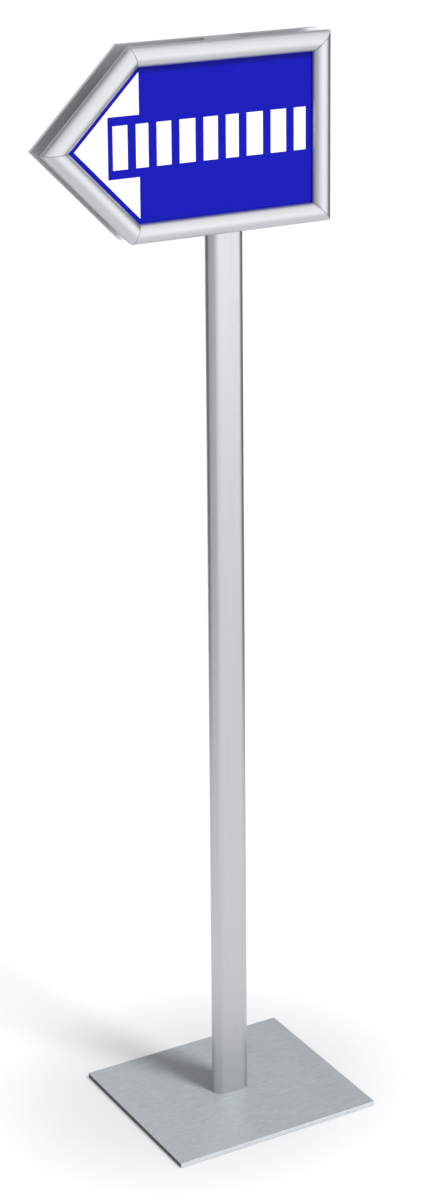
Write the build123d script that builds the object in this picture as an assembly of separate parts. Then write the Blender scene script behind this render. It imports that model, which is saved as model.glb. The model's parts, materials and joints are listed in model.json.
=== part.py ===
from build123d import *
import math
import os

# Free-standing arrow sign stand, in millimetres. +Z is up and the sign faces -Y and +Y.
# The arrow points to -X. The origin is the centre of the base's underside, under the pole.

# ---- driving dimensions: the whole stand ----
TOTAL_HEIGHT = 1424.0
SIGN_HEIGHT = 240.0
SIGN_RIGHT_X = 144.0
SHOULDER_X = -138.0
HEAD_LENGTH = 118.0

# ---- base ----
BASE_WIDTH = 295.0
BASE_DEPTH = 258.0
PLATE_THICKNESS = 6.0
PLATE_CORNER_RADIUS = 2.5
PLATE_CHAMFER = 0.8
UNDERLAY_THICKNESS = 1.0
UNDERLAY_INSET = 1.5

# ---- pole: a flat oval extrusion with a screw port in each round end ----
POLE_WIDTH = 50.0
POLE_DEPTH = 25.0
POLE_WALL = 2.0
PORT_X = 17.8
PORT_OUTER_RADIUS = 5.3
PORT_BORE_RADIUS = 3.05
POLE_TOP_DROP = 3.0
CAP_THICKNESS = 1.5
CAP_PLUG_DEPTH = 4.0
CAP_PLUG_WIDTH = 22.0
CAP_PLUG_WALL = 1.6

# ---- bolts that hold the pole to the plate, M6 countersunk ----
BOLT_RADIUS = 3.0
BOLT_LENGTH = 40.0
BOLT_HEAD_RADIUS = 6.0
BOLT_HEAD_HEIGHT = 3.0
BOLT_CLEARANCE = 0.25
SOCKET_RADIUS = 2.3
SOCKET_DEPTH = 2.0

# ---- snap frame section: s runs inward from the outer edge, d forward from the back ----
FRAME_BAND = 25.0
FRAME_DEPTH = 14.0
WEB_THICKNESS = 1.3
WEB_REACH = 22.5
SIDE_WALL_TOP = 2.3
PIVOT_S = 2.0
PIVOT_D = 4.4
BEAD_RADIUS = 0.9
NECK_START = 1.6
NECK_END = 2.35
CHANNEL_START = 6.2
CHANNEL_END = 13.2
CHANNEL_WALL = 1.0
CHANNEL_LIP = 0.8
CHANNEL_TOP = 4.2

# ---- snap cover ----
COVER_WALL = 1.3
HOOK_BORE_RADIUS = 0.96
HOOK_OUTER_RADIUS = 2.0
HOOK_END_ANGLE = 140.0
CLAW_END_ANGLE = -60.0
CLAW_END_TRIM = 3.0
DOME_BASE_D = 4.6
LIP_D = 4.0
LIP_WIDTH = 2.4
LIP_HEIGHT = 1.4
RIB_START = 8.0
RIB_WIDTH = 1.2
RIB_BOTTOM = 7.2
COVER_MITRE_GAP = 0.4
PROFILE_MITRE_GAP = 0.04

# ---- what each frame holds ----
STACK_INSET = 14.6
PANEL_D = (1.4, 2.9)
POSTER_D = (2.95, 3.2)
CLEAR_SHEET_D = (3.25, 3.9)

# ---- small parts in the frames ----
KEY_CLEARANCE = 0.2
KEY_D = (1.4, 3.3)
KEY_LEG = 24.0
SPRING_THICKNESS = 0.5
SPRING_LENGTH = 16.0
SPRING_PATH = [(3.0, 1.65), (4.62, 1.65), (4.62, 5.4), (7.5, 6.7)]
SPRING_BENDS = [0.6, 1.0]
SCREW_RADIUS = 1.75
SCREW_HEAD_RADIUS = 3.0
SCREW_HEAD_HEIGHT = 2.0
SCREW_REACH = 9.0
SCREW_X = 6.5
SCREW_CLEARANCE = 0.06
RECESS_WIDTH = 0.8
RECESS_LENGTH = 3.4
RECESS_DEPTH = 1.0

# ---- worked out from the above ----
FLOOR_TO_POLE = UNDERLAY_THICKNESS + PLATE_THICKNESS
SIGN_BOTTOM_Z = TOTAL_HEIGHT - SIGN_HEIGHT
SIGN_MIDDLE_Z = TOTAL_HEIGHT - SIGN_HEIGHT / 2
POLE_TOP_Z = TOTAL_HEIGHT - POLE_TOP_DROP
BACK_Y = -POLE_DEPTH / 2
CHANNEL_MIDDLE = (CHANNEL_START + CHANNEL_END) / 2

# The sign's outline in X and Z, anticlockwise as the front shows it. Member k starts at corner k.
CORNERS = [
    Vector(SIGN_RIGHT_X, 0, TOTAL_HEIGHT),
    Vector(SHOULDER_X, 0, TOTAL_HEIGHT),
    Vector(SHOULDER_X - HEAD_LENGTH, 0, SIGN_MIDDLE_Z),
    Vector(SHOULDER_X, 0, SIGN_BOTTOM_Z),
    Vector(SIGN_RIGHT_X, 0, SIGN_BOTTOM_Z),
]
MEMBERS = ["top", "upper_head", "lower_head", "bottom", "end"]
SPRING_COUNTS = [3, 2, 2, 3, 2]


# ---- the outline's geometry ----

def corner(k):
    return CORNERS[k % len(CORNERS)]


def length(k):
    return (corner(k + 1) - corner(k)).length


def along(k):
    return (corner(k + 1) - corner(k)).normalized()


def inward(k):
    """The direction in the sign's plane from member k's outer edge to the sign's middle."""
    return Vector(0, -1, 0).cross(along(k))


def half_angle(k):
    """Half the angle inside the outline at corner k, in radians."""
    return math.radians(180 - along(k - 1).get_angle(along(k))) / 2


def inset_corner(k, inset):
    """Corner k of the outline, moved in by the same distance from both its edges."""
    return corner(k) + inward(k) * inset + along(k) * (inset / math.tan(half_angle(k)))


def member_plane(k):
    """Local X runs along member k, local Y inward and local Z forward from the frame's back."""
    start = corner(k) + Vector(0, BACK_Y, 0)
    return Plane(origin=start, x_dir=along(k), z_dir=(0, -1, 0))


def mitred(section, k, gap):
    """The section, in s and d, run along member k and cut on both corners' mitre planes."""
    def mitre(angle, s):
        return s / math.tan(angle) + gap / 2 / math.sin(angle)

    low_s = -1.0
    high_s = FRAME_BAND + 1.0
    start_angle = half_angle(k)
    end_angle = half_angle(k + 1)
    wedge = make_face(Polyline(
        (mitre(start_angle, low_s), low_s),
        (length(k) - mitre(end_angle, low_s), low_s),
        (length(k) - mitre(end_angle, high_s), high_s),
        (mitre(start_angle, high_s), high_s),
        close=True,
    ))
    bar = extrude(Plane.YZ * section, amount=length(k))
    return bar & extrude(wedge, amount=FRAME_DEPTH + 1)


def block(s_range, d_range):
    """A rectangle in a section, from its s limits and d limits."""
    width = s_range[1] - s_range[0]
    height = d_range[1] - d_range[0]
    return Pos(s_range[0] + width / 2, d_range[0] + height / 2) * Rectangle(width, height)


def pie(start_angle, end_angle, radius):
    """A sector of a disc on the pivot, for cutting the hook to length."""
    steps = 6
    angles = [start_angle + (end_angle - start_angle) * i / steps for i in range(steps + 1)]
    rim = [(radius * math.cos(math.radians(a)), radius * math.sin(math.radians(a))) for a in angles]
    return Pos(PIVOT_S, PIVOT_D) * make_face(Polyline((0, 0), *rim, close=True))


# ---- snap frame: the extruded sections ----

def profile_section():
    """The fixed extrusion: back web, side wall, pivot bead on its neck, and key channel."""
    section = block((0, WEB_REACH), (0, WEB_THICKNESS))
    section += block((0, WEB_THICKNESS), (0, SIDE_WALL_TOP))
    section += block((NECK_START, NECK_END), (0, PIVOT_D))
    section += Pos(PIVOT_S, PIVOT_D) * Circle(BEAD_RADIUS)
    lip_d = (CHANNEL_TOP - CHANNEL_LIP, CHANNEL_TOP)
    section += block((CHANNEL_START - CHANNEL_WALL, CHANNEL_START), (0, CHANNEL_TOP))
    section += block((CHANNEL_START, CHANNEL_START + CHANNEL_LIP), lip_d)
    section += block((CHANNEL_END, CHANNEL_END + CHANNEL_WALL), (0, CHANNEL_TOP))
    section += block((CHANNEL_END - CHANNEL_LIP, CHANNEL_END), lip_d)
    return section


def dome(wall):
    """The region under the cover's bullnose, from DOME_BASE_D up, less a wall's thickness."""
    rise = FRAME_DEPTH - DOME_BASE_D - wall
    oval = Pos(FRAME_BAND / 2, DOME_BASE_D) * Ellipse(FRAME_BAND / 2 - wall, rise)
    return oval & block((0, FRAME_BAND), (DOME_BASE_D, FRAME_DEPTH))


def cover_section():
    """The snap cover: bullnose, hook round the bead, spring rib and the lip on the sheet."""
    section = dome(0) - dome(COVER_WALL)
    section += block((FRAME_BAND - LIP_WIDTH, FRAME_BAND), (LIP_D, LIP_D + LIP_HEIGHT))
    section += block((RIB_START, RIB_START + RIB_WIDTH), (RIB_BOTTOM, FRAME_DEPTH)) & dome(0)
    hook = Pos(PIVOT_S, PIVOT_D) * Circle(HOOK_OUTER_RADIUS)
    section += hook & block((0, 2 * PIVOT_S), (PIVOT_D, FRAME_DEPTH))
    section -= Pos(PIVOT_S, PIVOT_D) * Circle(HOOK_BORE_RADIUS)
    section -= pie(HOOK_END_ANGLE, 360 + CLAW_END_ANGLE, 2 * HOOK_OUTER_RADIUS)
    return section


def claw_section():
    """The part of the hook under the bead. It stops short of the mitres, to swing clear."""
    ring = Circle(HOOK_OUTER_RADIUS) - Circle(HOOK_BORE_RADIUS)
    return (Pos(PIVOT_S, PIVOT_D) * ring) & pie(CLAW_END_ANGLE, 0, 2 * HOOK_OUTER_RADIUS)


# ---- snap frame: one member each ----

def screw_places(k):
    """Local X of the screws that fasten member k to the pole, on the members that cross it."""
    if MEMBERS[k] not in ("top", "bottom"):
        return []
    middle = abs(corner(k).X)
    return [middle - SCREW_X, middle + SCREW_X]


def frame_profile(k):
    bar = mitred(profile_section(), k, PROFILE_MITRE_GAP)
    for x in screw_places(k):
        hole = Cylinder(SCREW_RADIUS + SCREW_CLEARANCE, 4 * WEB_THICKNESS)
        bar -= Pos(x, CHANNEL_MIDDLE, 0) * hole
    return member_plane(k) * bar


def snap_cover(k):
    shell = mitred(cover_section(), k, COVER_MITRE_GAP)
    claw = mitred(claw_section(), k, COVER_MITRE_GAP + 2 * CLAW_END_TRIM)
    return member_plane(k) * (shell + claw)


# ---- snap frame: what it holds ----

def sheet(inset, d_range):
    """A flat sheet with the sign's outline, cut smaller all round, between two depths."""
    places = [inset_corner(k, inset) + Vector(0, BACK_Y - d_range[0], 0) for k in range(5)]
    return extrude(make_face(Polyline(*places, close=True)), amount=d_range[1] - d_range[0], dir=(0, -1, 0))


def corner_key(k):
    """A flat steel angle in the key channels of the two members that meet at corner k."""
    inner = inset_corner(k, CHANNEL_END - KEY_CLEARANCE)
    outer = inset_corner(k, CHANNEL_START + KEY_CLEARANCE)
    width = CHANNEL_END - CHANNEL_START - 2 * KEY_CLEARANCE
    next_tip = inner + along(k) * KEY_LEG
    last_tip = inner - along(k - 1) * KEY_LEG
    outline = [inner, next_tip, next_tip - inward(k) * width, outer, last_tip - inward(k - 1) * width, last_tip]
    places = [place + Vector(0, BACK_Y - KEY_D[0], 0) for place in outline]
    return extrude(make_face(Polyline(*places, close=True)), amount=KEY_D[1] - KEY_D[0], dir=(0, -1, 0))


def corner_keys():
    return Compound(children=[corner_key(k) for k in range(len(CORNERS))])


def cover_spring():
    """A bent leaf of spring steel that stands beside the pivot and bears on the cover's rib."""
    line = FilletPolyline(*SPRING_PATH, radius=SPRING_BENDS)
    section = make_face(offset(line, amount=SPRING_THICKNESS / 2))
    return Pos(-SPRING_LENGTH / 2, 0, 0) * extrude(Plane.YZ * section, amount=SPRING_LENGTH)


def cover_springs():
    leaf = cover_spring()
    leaves = []
    for k, count in enumerate(SPRING_COUNTS):
        for i in range(count):
            middle = length(k) * (i + 1) / (count + 1)
            leaves.append(member_plane(k) * Pos(middle, 0, 0) * leaf)
    return Compound(children=leaves)


def frame_screw():
    """A pan-head screw, head up, with its seat at Z = 0 and a cross recess."""
    head = Pos(0, 0, SCREW_HEAD_HEIGHT / 2) * Cylinder(SCREW_HEAD_RADIUS, SCREW_HEAD_HEIGHT)
    head = fillet(head.edges().group_by(Axis.Z)[-1], SCREW_HEAD_HEIGHT / 2)
    shank = Pos(0, 0, -SCREW_REACH / 2) * Cylinder(SCREW_RADIUS, SCREW_REACH)
    for turn in (0, 90):
        slot = Box(RECESS_LENGTH, RECESS_WIDTH, 2 * RECESS_DEPTH)
        head -= Pos(0, 0, SCREW_HEAD_HEIGHT) * Rot(0, 0, turn) * slot
    return head + shank


def frame_screws():
    screw = frame_screw()
    screws = []
    for k in range(len(MEMBERS)):
        for x in screw_places(k):
            screws.append(member_plane(k) * Pos(x, CHANNEL_MIDDLE, WEB_THICKNESS) * screw)
    return Compound(children=screws)


# ---- base and pole ----

def oval(width, depth):
    """A flat oval: two flat sides and two half-round ends."""
    return RectangleRounded(width, depth, depth / 2 - 0.001)


def bolt_places():
    return [Pos(side * PORT_X, 0, 0) for side in (-1, 1)]


def base_underlay():
    width = BASE_WIDTH - 2 * UNDERLAY_INSET
    depth = BASE_DEPTH - 2 * UNDERLAY_INSET
    return extrude(RectangleRounded(width, depth, PLATE_CORNER_RADIUS), amount=UNDERLAY_THICKNESS)


def bolt_hole():
    """A clearance hole with its countersink opening downward at Z = 0."""
    wide = BOLT_HEAD_RADIUS + BOLT_CLEARANCE
    narrow = BOLT_RADIUS + BOLT_CLEARANCE
    sink = Pos(0, 0, BOLT_HEAD_HEIGHT / 2) * Cone(wide, narrow, BOLT_HEAD_HEIGHT)
    return sink + Pos(0, 0, PLATE_THICKNESS / 2) * Cylinder(narrow, 2 * PLATE_THICKNESS)


def base_plate():
    plate = extrude(RectangleRounded(BASE_WIDTH, BASE_DEPTH, PLATE_CORNER_RADIUS), amount=PLATE_THICKNESS)
    plate = chamfer(plate.edges().group_by(Axis.Z)[-1], PLATE_CHAMFER)
    for place in bolt_places():
        plate -= place * bolt_hole()
    return Pos(0, 0, UNDERLAY_THICKNESS) * plate


def base_bolt():
    """A countersunk bolt, head down, with a hexagon socket in the head at Z = 0."""
    head = Pos(0, 0, BOLT_HEAD_HEIGHT / 2) * Cone(BOLT_HEAD_RADIUS, BOLT_RADIUS, BOLT_HEAD_HEIGHT)
    shank_length = BOLT_LENGTH - BOLT_HEAD_HEIGHT
    shank = Pos(0, 0, BOLT_HEAD_HEIGHT + shank_length / 2) * Cylinder(BOLT_RADIUS, shank_length)
    socket = extrude(RegularPolygon(SOCKET_RADIUS, 6), amount=SOCKET_DEPTH)
    return Pos(0, 0, UNDERLAY_THICKNESS) * (head + shank - socket)


def base_bolts():
    bolt = base_bolt()
    return Compound(children=[place * bolt for place in bolt_places()])


def pole():
    tube = oval(POLE_WIDTH, POLE_DEPTH)
    tube -= oval(POLE_WIDTH - 2 * POLE_WALL, POLE_DEPTH - 2 * POLE_WALL)
    for place in bolt_places():
        tube += place * Circle(PORT_OUTER_RADIUS)
    tube &= oval(POLE_WIDTH, POLE_DEPTH)
    for place in bolt_places():
        tube -= place * Circle(PORT_BORE_RADIUS)
    height = POLE_TOP_Z - FLOOR_TO_POLE
    post = Pos(0, 0, FLOOR_TO_POLE) * extrude(tube, amount=height)
    hole = Rot(90, 0, 0) * Cylinder(SCREW_RADIUS + SCREW_CLEARANCE, 2 * POLE_DEPTH)
    for z in (SIGN_BOTTOM_Z + CHANNEL_MIDDLE, TOTAL_HEIGHT - CHANNEL_MIDDLE):
        for x in (-SCREW_X, SCREW_X):
            post -= Pos(x, 0, z) * hole
    return post


def pole_cap():
    """A moulded end cap: a cover plate with a hollow plug between the two screw ports."""
    plate = extrude(oval(POLE_WIDTH, POLE_DEPTH), amount=CAP_THICKNESS)
    plate = chamfer(plate.edges().group_by(Axis.Z)[-1], CAP_THICKNESS / 3)
    plug_depth = POLE_DEPTH - 2 * POLE_WALL - 0.2
    ring = Rectangle(CAP_PLUG_WIDTH, plug_depth)
    ring -= Rectangle(CAP_PLUG_WIDTH - 2 * CAP_PLUG_WALL, plug_depth - 2 * CAP_PLUG_WALL)
    plug = extrude(ring, amount=-CAP_PLUG_DEPTH)
    return Pos(0, 0, POLE_TOP_Z) * (plate + plug)


# ---- the files: one per piece ----

def frame_parts():
    """Every piece of one snap frame, at the front of the pole, by name."""
    parts = {}
    for k, member in enumerate(MEMBERS):
        parts[member + "_profile"] = frame_profile(k)
        parts[member + "_cover"] = snap_cover(k)
    parts["back_panel"] = sheet(STACK_INSET, PANEL_D)
    parts["poster"] = sheet(STACK_INSET, POSTER_D)
    parts["clear_sheet"] = sheet(STACK_INSET, CLEAR_SHEET_D)
    parts["corner_keys"] = corner_keys()
    parts["cover_springs"] = cover_springs()
    parts["frame_screws"] = frame_screws()
    return parts


def main():
    parts = {
        "base_underlay": base_underlay(),
        "base_plate": base_plate(),
        "base_bolts": base_bolts(),
        "pole": pole(),
        "pole_cap": pole_cap(),
    }
    for name, shape in frame_parts().items():
        parts["front_" + name] = shape
        parts["rear_" + name] = mirror(shape, about=Plane.XZ)
    os.makedirs("parts", exist_ok=True)
    for name, shape in parts.items():
        export_step(shape, f"parts/{name}.step")
        volume = sum(solid.volume for solid in shape.solids())
        print(f"{name}: {len(shape.solids())} solid(s), {volume:.1f} mm3")


main()
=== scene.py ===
# %% [markdown]
# # An arrow sign on a pole
# This stand is a flat steel base, a flat oval aluminium pole and two arrow-shaped snap frames, back
# to back. Each frame's covers open on hinges so that the print can be changed. The engineering
# model is loaded first and is never moved. Everything is in metres with +Z up and the origin on the
# floor under the pole. The front of the sign faces -Y and the arrow points to -X.

# %% Load the engineering model
import bmesh
import bpy
import json
import math
from mathutils import Matrix, Vector

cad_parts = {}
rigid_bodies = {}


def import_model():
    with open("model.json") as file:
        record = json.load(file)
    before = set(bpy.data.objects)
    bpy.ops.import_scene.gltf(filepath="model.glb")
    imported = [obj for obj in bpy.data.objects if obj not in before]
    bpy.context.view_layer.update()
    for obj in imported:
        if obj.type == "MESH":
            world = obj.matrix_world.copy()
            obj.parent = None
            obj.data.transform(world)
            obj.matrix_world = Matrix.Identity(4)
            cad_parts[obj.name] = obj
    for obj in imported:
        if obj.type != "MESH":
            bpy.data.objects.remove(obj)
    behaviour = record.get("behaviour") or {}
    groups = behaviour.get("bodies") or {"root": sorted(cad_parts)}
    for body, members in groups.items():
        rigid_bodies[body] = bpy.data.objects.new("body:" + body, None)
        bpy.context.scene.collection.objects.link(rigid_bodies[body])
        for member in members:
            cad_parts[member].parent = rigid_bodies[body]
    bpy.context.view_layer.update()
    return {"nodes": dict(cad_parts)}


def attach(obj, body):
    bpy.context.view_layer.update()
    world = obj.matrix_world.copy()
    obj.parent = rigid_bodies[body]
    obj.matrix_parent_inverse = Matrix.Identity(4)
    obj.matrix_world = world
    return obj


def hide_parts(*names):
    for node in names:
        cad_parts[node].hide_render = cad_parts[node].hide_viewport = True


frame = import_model()
nodes = frame["nodes"]
MM = 0.001
print("pieces in the engineering model:", len(nodes))

# %% [markdown]
# ## Camera
# A long lens stands to the left of the sign and a little above it. The lens is shifted downward, as
# on a view camera, so the pole stays upright in the picture although the whole stand is in view. The
# camera is placed in a frame turned about the stand's own upright axis.

# %% Camera
# Distances are in metres, and the lens and sensor in millimetres.
CAMERA_TURN = math.radians(29.727)
CAMERA_PITCH = math.radians(13.666)
CAMERA_ROLL = math.radians(-0.493)
CAMERA_SIDE = -0.01611
CAMERA_BACK = 3.1711
CAMERA_HEIGHT = 1.86589
CAMERA_LENS = 78.633
CAMERA_SHIFT = -0.25
SENSOR_WIDTH = 36.0
SIGHT_LIMIT = 200.0


def place_camera():
    """Stands the camera in the turned frame, pitches it down, then rolls it a little."""
    turned = Matrix.Rotation(-CAMERA_TURN, 4, "Z")
    place = turned @ Matrix.Translation((CAMERA_SIDE, -CAMERA_BACK, CAMERA_HEIGHT))
    look = Matrix.Rotation(math.radians(90) - CAMERA_PITCH, 4, "X")
    roll = Matrix.Rotation(CAMERA_ROLL, 4, "Z")
    bpy.ops.object.camera_add()
    camera = bpy.context.object
    camera.name = "view_camera"
    camera.matrix_world = place @ look @ roll
    camera.data.lens = CAMERA_LENS
    camera.data.sensor_width = SENSOR_WIDTH
    camera.data.shift_y = CAMERA_SHIFT
    camera.data.clip_end = SIGHT_LIMIT
    bpy.context.scene.camera = camera
    return camera


print("camera at", [round(v, 3) for v in place_camera().matrix_world.translation])

# %% [markdown]
# ## Helpers for materials
# Colours are written as they look on a screen, in hex, and one function turns them to linear light.
# One more function adds a shader node with its settings and its links, whatever kind it is.

# %% Colour and node helpers


def linear(code):
    """A screen colour such as 'C8CACC' as linear red, green, blue and alpha."""
    channels = [int(code[i:i + 2], 16) / 255 for i in (0, 2, 4)]
    return [c / 12.92 if c <= 0.04045 else ((c + 0.055) / 1.055) ** 2.4 for c in channels] + [1.0]


def add(tree, kind, settings=None, values=None, **links):
    """Adds a node. Values and links go by input name, and a link named _3 goes to input 3."""
    node = tree.nodes.new(kind)
    for name, value in (settings or {}).items():
        setattr(node, name, value)
    for name, value in (values or {}).items():
        node.inputs[name].default_value = value
    for name, source in links.items():
        key = int(name[1:]) if name[0] == "_" else name.replace("_", " ")
        tree.links.new(source, node.inputs[key])
    return node


def start_material(name, colour, roughness, metallic=0.0):
    """A new material with its shader on the output, and its plain values set."""
    material = bpy.data.materials.new(name)
    material.use_nodes = True
    tree = material.node_tree
    tree.nodes.clear()
    shader = add(tree, "ShaderNodeBsdfPrincipled")
    add(tree, "ShaderNodeOutputMaterial", Surface=shader.outputs[0])
    shader.inputs["Base Color"].default_value = linear(colour)
    shader.inputs["Roughness"].default_value = roughness
    shader.inputs["Metallic"].default_value = metallic
    return material, tree, shader


print("mid grey in linear light:", round(linear("808080")[0], 3))

# %% [markdown]
# ## Patterns that the materials share
# Most finishes here are one fine pattern, drawn out along the way the metal was pushed, rolled or
# brushed. A Mapping node of the Texture type turns the piece's own coordinates first and divides
# them by a real size afterwards, so its Scale is simply how long, and how wide, one mark is.

# %% Pattern helpers


def grain(tree, size, turn=0.0, detail=3.0):
    """Noise whose marks have this size in millimetres, turned about Y so that X runs along them."""
    place = add(tree, "ShaderNodeTexCoord")
    scale = [side * MM for side in size]
    values = {"Rotation": (0.0, turn, 0.0), "Scale": scale}
    turned = add(tree, "ShaderNodeMapping", {"vector_type": "TEXTURE"}, values,
                 Vector=place.outputs["Object"])
    return add(tree, "ShaderNodeTexNoise", values={"Scale": 1.0, "Detail": detail},
               Vector=turned.outputs[0]).outputs[0]


def between(tree, pattern, low, high, start=0.3, end=0.7):
    """Turns a pattern into a value that runs from low to high."""
    values = {"From Min": start, "From Max": end, "To Min": low, "To Max": high}
    return add(tree, "ShaderNodeMapRange", values=values, Value=pattern).outputs[0]


def tinted(tree, pattern, low, high, start=0.3, end=0.7):
    """Turns a pattern into a colour that runs from one hex colour to another."""
    ramp = add(tree, "ShaderNodeValToRGB", Fac=pattern)
    for stop, place, colour in zip(ramp.color_ramp.elements, (start, end), (low, high)):
        stop.position = place
        stop.color = linear(colour)
    return ramp.outputs[0]


def raise_by(tree, shader, *layers):
    """Adds bump layers, each a pattern with its height in millimetres, to a shader's normal."""
    normal = None
    for pattern, height in layers:
        values = {"Strength": 1.0, "Distance": height * MM}
        bump = add(tree, "ShaderNodeBump", values=values, Height=pattern)
        if normal:
            tree.links.new(normal, bump.inputs["Normal"])
        normal = bump.outputs[0]
    tree.links.new(normal, shader.inputs["Normal"])


def dress(material, *names):
    """Puts a material on engineering pieces that keep their own shape."""
    for name in names:
        for piece_slot in nodes[name].material_slots:
            piece_slot.material = material


def both(*names):
    """The front and the rear frame's piece of each name."""
    return [side + "_" + name for side in ("front", "rear") for name in names]


# %% [markdown]
# ## Anodised aluminium
# The covers, the profiles and the pole are extruded: hot aluminium is pushed through a steel die,
# which leaves faint straight lines along the bar. A caustic etch then turns the skin matt, and
# anodising seals it under clear oxide. To the eye it is a pale, soft-edged metal with a whisper of
# lines along each length. One pattern can't serve every bar, because the lines have to follow each
# one, so the same finish is made once for each direction. Real die lines are a few hundredths of a
# millimetre wide. They are drawn 0.7 mm wide, because finer ones would vanish at this distance.

# %% Anodised aluminium
# Marks are given as length, width and depth in millimetres, here and in every finish below.
SATIN = "CBCDCF"
SATIN_ROUGHNESS = 0.40
SATIN_SPREAD = 0.03
LINE_SHADE = 9
LINE_RELIEF = 0.006
ETCH_RELIEF = 0.008
DIE_LINE = (260.0, 0.7, 0.7)
ETCH_GRAIN = (1.2, 1.2, 1.2)
SLOW_WAVE = (180.0, 14.0, 14.0)


def anodised_aluminium(name, turn, colour, roughness=SATIN_ROUGHNESS):
    """Satin anodised extruded aluminium, with its die lines along a direction."""
    material, tree, shader = start_material(name, colour, roughness, metallic=1.0)
    lines = grain(tree, DIE_LINE, turn)
    etch = grain(tree, ETCH_GRAIN, turn, detail=2.0)
    wave = grain(tree, SLOW_WAVE, turn, detail=1.0)
    darker = "".join(f"{int(colour[i:i + 2], 16) - LINE_SHADE:02X}" for i in (0, 2, 4))
    tree.links.new(tinted(tree, lines, darker, colour), shader.inputs["Base Color"])
    even = add(tree, "ShaderNodeMath", {"operation": "ADD"}, _0=lines, _1=wave).outputs[0]
    spread = between(tree, even, roughness - SATIN_SPREAD, roughness + SATIN_SPREAD, 0.8, 1.2)
    tree.links.new(spread, shader.inputs["Roughness"])
    raise_by(tree, shader, (lines, LINE_RELIEF), (etch, ETCH_RELIEF))
    return material


print("die lines drawn", DIE_LINE[1], "mm wide")

# %% [markdown]
# ## The outline of the sign
# Both frames share one arrow outline with five corners. Each side is a member, with its own profile
# and its own hinged cover. A few vectors per member are all that is needed to place every bar: where
# it starts, which way it runs, and which way is inward. They come from the sizes of the stand.

# %% Corners and members
# All sizes from here on are in millimetres, and are turned to metres where a mesh is made.
TOP = 1424.0
SIGN_HEIGHT = 240.0
RIGHT_X = 144.0
SHOULDER_X = -138.0
TIP_X = -256.0
POLE_DEPTH = 25.0
MIDDLE_Z = TOP - SIGN_HEIGHT / 2
CORNERS = [Vector(place) for place in (
    (RIGHT_X, 0, TOP),
    (SHOULDER_X, 0, TOP),
    (TIP_X, 0, MIDDLE_Z),
    (SHOULDER_X, 0, TOP - SIGN_HEIGHT),
    (RIGHT_X, 0, TOP - SIGN_HEIGHT),
)]
MEMBERS = ["top", "upper_head", "lower_head", "bottom", "end"]


def corner(k):
    """A corner of the outline, counted round and round."""
    return CORNERS[k % len(CORNERS)]


def length(k):
    """A member's length along the outline."""
    return (corner(k + 1) - corner(k)).length


def along(k):
    """The direction that a member runs in."""
    return (corner(k + 1) - corner(k)).normalized()


def inward(k):
    """The direction from a member toward the middle of the sign."""
    return Vector((0, -1, 0)).cross(along(k))


def half_angle(k):
    """Half the angle inside the outline at a corner."""
    return (math.pi - along(k - 1).angle(along(k))) / 2


def inset_corner(k, inset):
    """A corner of the outline, moved in by the same distance from both its sides."""
    return corner(k) + inward(k) * inset + along(k) * (inset / math.tan(half_angle(k)))


def line_turn(k):
    """The turn about Y that carries X to the direction of a member."""
    return math.atan2(-along(k).z, along(k).x)


for k, member in enumerate(MEMBERS):
    print(member, "is", round(length(k), 1), "mm long")

# %% [markdown]
# ## Drawing by hand, in code
# An extruded bar is one outline pushed through a die, so the outline is drawn first. A single point
# is extruded from place to place, exactly as by hand with the E key, and the loop is then closed to
# a face. This keeps every point where it is wanted, which a boolean of simple solids would not.

# %% Drawing helpers
# Meshes are in metres, and so is SAME_PLACE, the most that two equal places may differ.
MERGE_WITHIN = 0.002
SAME_PLACE = 1e-6
SAME_WAY = 0.999
SMOOTH_ANGLE = 32.0


def new_piece(name):
    """An empty piece in edit mode, with nothing else selected."""
    bpy.ops.object.select_all(action="DESELECT")
    bpy.ops.object.add(type="MESH")
    piece = bpy.context.object
    piece.name = name
    piece.data.name = name
    bpy.ops.object.mode_set(mode="EDIT")
    bpy.ops.mesh.select_mode(type="VERT")
    return piece


def push(step):
    """Extrudes what is selected by a step."""
    bpy.ops.mesh.extrude_region_move(TRANSFORM_OT_translate={"value": step})


def draw_loop(places, filled=True):
    """Draws a closed loop through the places: one point, extruded from each place to the next."""
    bpy.ops.mesh.primitive_plane_add(size=MM, location=places[0])
    bpy.ops.mesh.merge(type="CENTER")
    for here, there in zip(places, places[1:]):
        push(Vector(there) - Vector(here))
    bpy.ops.mesh.select_linked()
    bpy.ops.mesh.edge_face_add()
    if not filled:
        bpy.ops.mesh.delete(type="ONLY_FACE")


def arc(centre, radii, start, end, steps):
    """Points along part of an oval, from one angle to another in degrees."""
    turns = [math.radians(start + (end - start) * i / steps) for i in range(steps + 1)]
    return [(centre[0] + radii[0] * math.cos(t), centre[1] + radii[1] * math.sin(t)) for t in turns]


def choose(piece, kind, wanted):
    """Selects the points, edges or faces for which wanted is true, and nothing else."""
    bpy.ops.mesh.select_mode(type=kind)
    bpy.ops.mesh.select_all(action="DESELECT")
    shape = bmesh.from_edit_mesh(piece.data)
    shape.normal_update()
    parts = {"VERT": shape.verts, "EDGE": shape.edges, "FACE": shape.faces}[kind]
    for part in [part for part in parts if wanted(part)]:
        part.select_set(True)
    bmesh.update_edit_mesh(piece.data)


def looks(face, way):
    """True if a face looks the given way."""
    return face.normal.dot(way) > SAME_WAY


def give_finish(piece, index):
    """Puts the finish with this number on the selected faces."""
    piece.active_material_index = index
    bpy.ops.object.material_slot_assign()


def merge_points():
    """Merges points that lie in the same place."""
    bpy.ops.mesh.select_all(action="SELECT")
    bpy.ops.mesh.remove_doubles(threshold=MERGE_WITHIN * MM)


def close_up(piece):
    """Merges doubled points and turns every face outward, then leaves edit mode."""
    merge_points()
    bpy.ops.mesh.normals_make_consistent(inside=False)
    bpy.ops.object.mode_set(mode="OBJECT")


def make_active(piece):
    """Selects one piece and nothing else."""
    bpy.ops.object.select_all(action="DESELECT")
    piece.select_set(True)
    bpy.context.view_layer.objects.active = piece


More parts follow.
